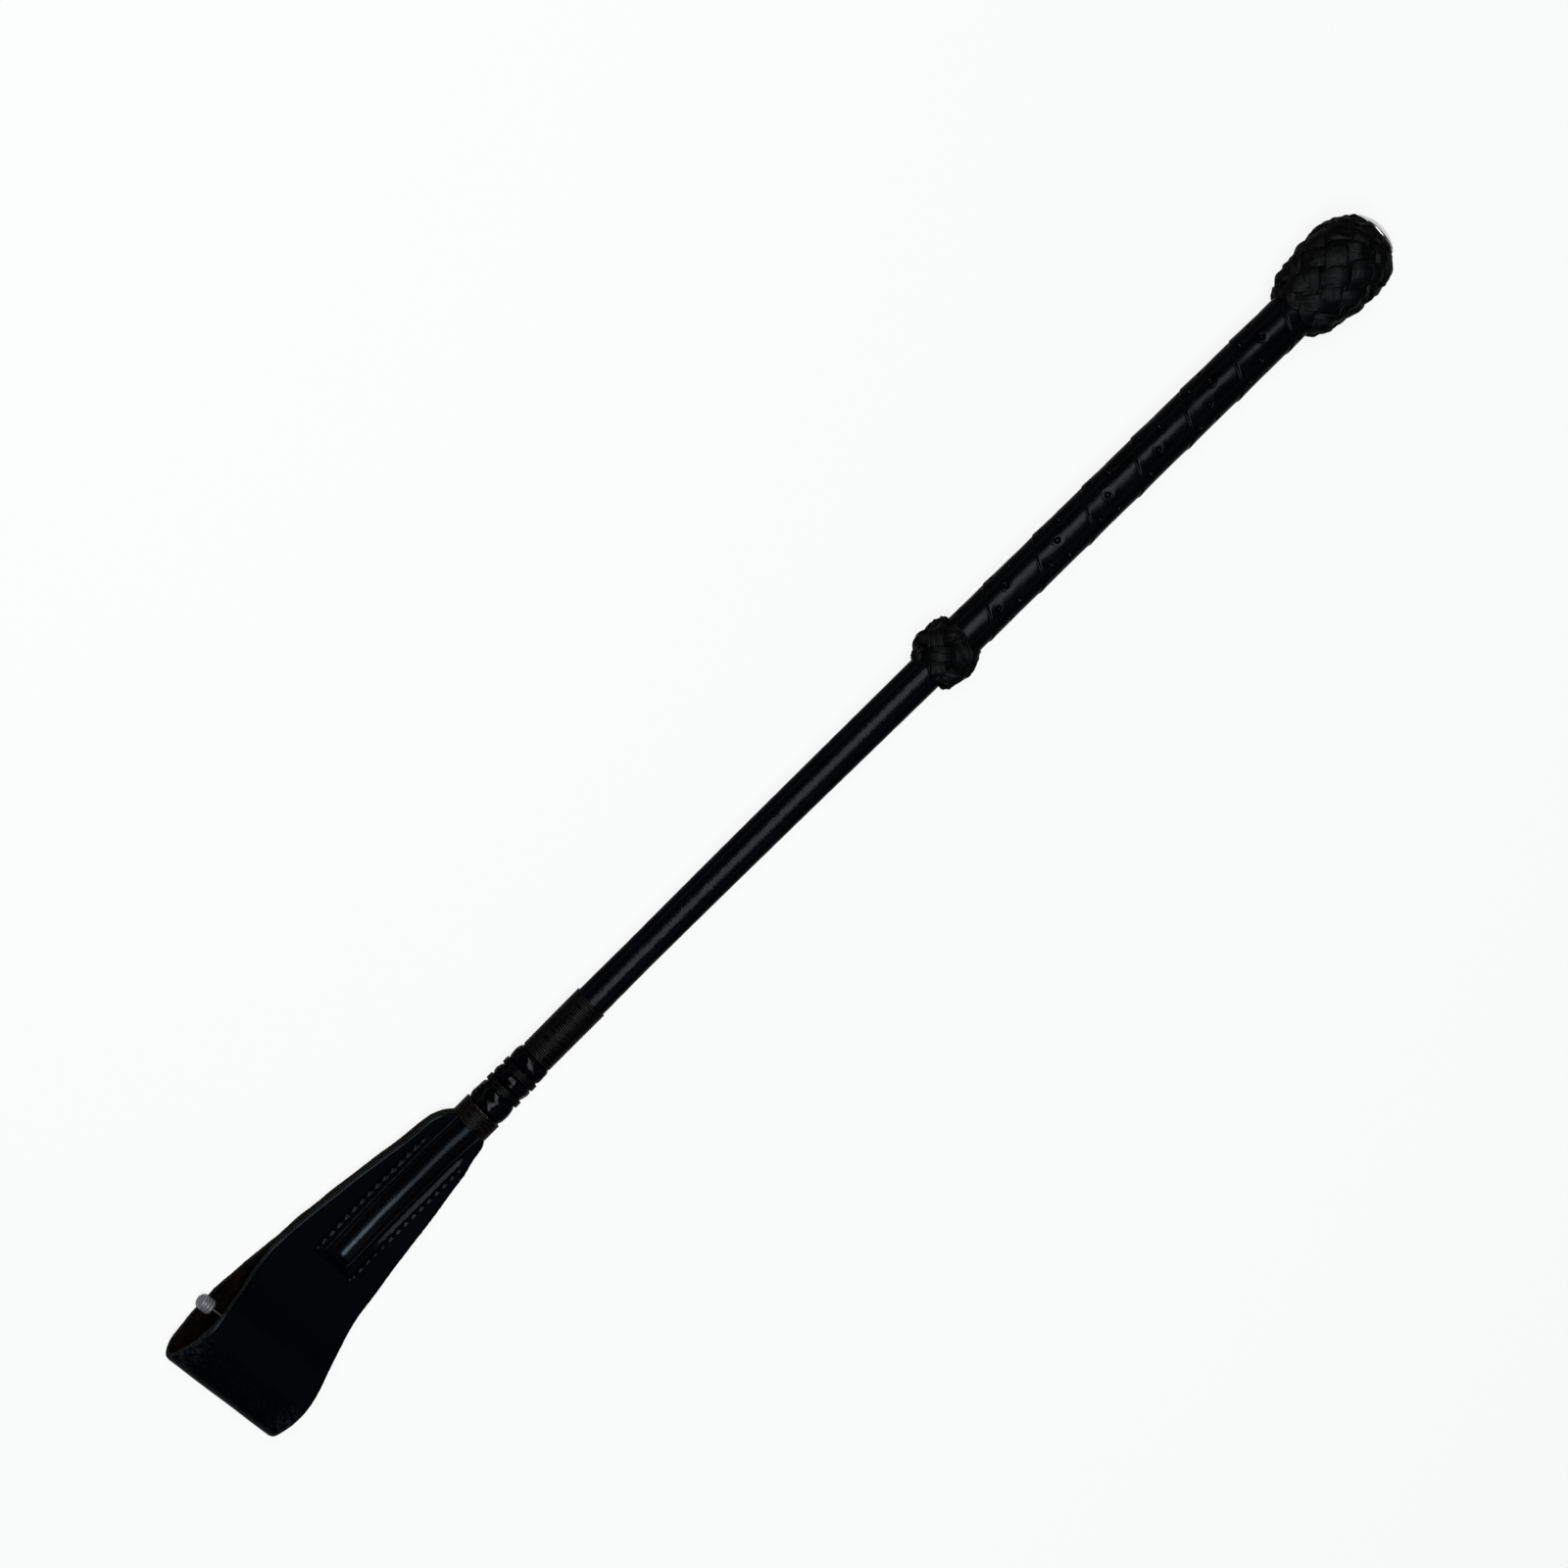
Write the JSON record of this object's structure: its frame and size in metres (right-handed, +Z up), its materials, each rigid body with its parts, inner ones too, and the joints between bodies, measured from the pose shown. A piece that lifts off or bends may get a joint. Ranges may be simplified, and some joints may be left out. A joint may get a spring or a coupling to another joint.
{
  "type": "riding crop",
  "caption": "Leather riding crop with a woven knot pommel and metal cap, punched wrapped grip, leather shaft, thread-bound neck and a wide folded flap that flexes.",
  "frame": {"origin": "centre of the bounding box in X and Y, on the surface that the crop lies on", "axes": "+X along the crop towards the pommel, +Y to the side where the tag lock sits, +Z up, out of the front of the flap"},
  "size_m": [0.6086, 0.0614, 0.0335],
  "materials": {
    "cover_leather": "glossy smooth leather",
    "patent_leather": "patent, high gloss",
    "grip_leather": "satin, punched",
    "knot_leather": "matte, creased",
    "flap_leather": "glossy face, suede back",
    "binding_thread": "waxed thread",
    "seam_thread": "waxed thread",
    "fibreglass": "pultruded rod",
    "grip_rubber": "matte",
    "pommel_wood": "turned",
    "cap_metal": "polished nickel",
    "nail_steel": "plain",
    "tag_nylon": "clear moulded"
  },
  "bodies": {
    "crop": {"core_rod": "fibreglass", "shaft_cover": "cover_leather", "shaft_seam_thread": "seam_thread", "upper_winding": "binding_thread", "neck_sleeve": "patent_leather", "neck_sleeve_seam": "seam_thread", "neck_band_upper": "binding_thread", "neck_band_lower": "binding_thread", "lower_winding": "binding_thread", "flap_pocket": "flap_leather", "pocket_stitching": "seam_thread", "middle_knot_base": "knot_leather", "middle_knot": "knot_leather", "grip_tube": "grip_rubber", "grip_wrap": "grip_leather", "pommel_core": "pommel_wood", "pommel_knot": "knot_leather", "butt_cap": "cap_metal", "cap_nail": "nail_steel"},
    "flap": {"flap_loop": "flap_leather"},
    "tag": {"tag_filament": "tag_nylon", "tag_lock_socket": "tag_nylon", "tag_lock_pin": "tag_nylon"}
  },
  "joints": [
    {"name": "flap_flex", "type": "hinge", "parent": "crop", "child": "flap", "pos_m": [-0.24413, -0.00181, 0.00606], "axis": [0, 1, 0], "range_deg": [-60, 45], "stiffness_Nm_per_rad": 0.5},
    {"name": "tag_slide", "type": "slide", "parent": "flap", "child": "tag", "axis": [0.9842, 0, -0.1772], "range_m": [-0.005, 0.008]}
  ]
}
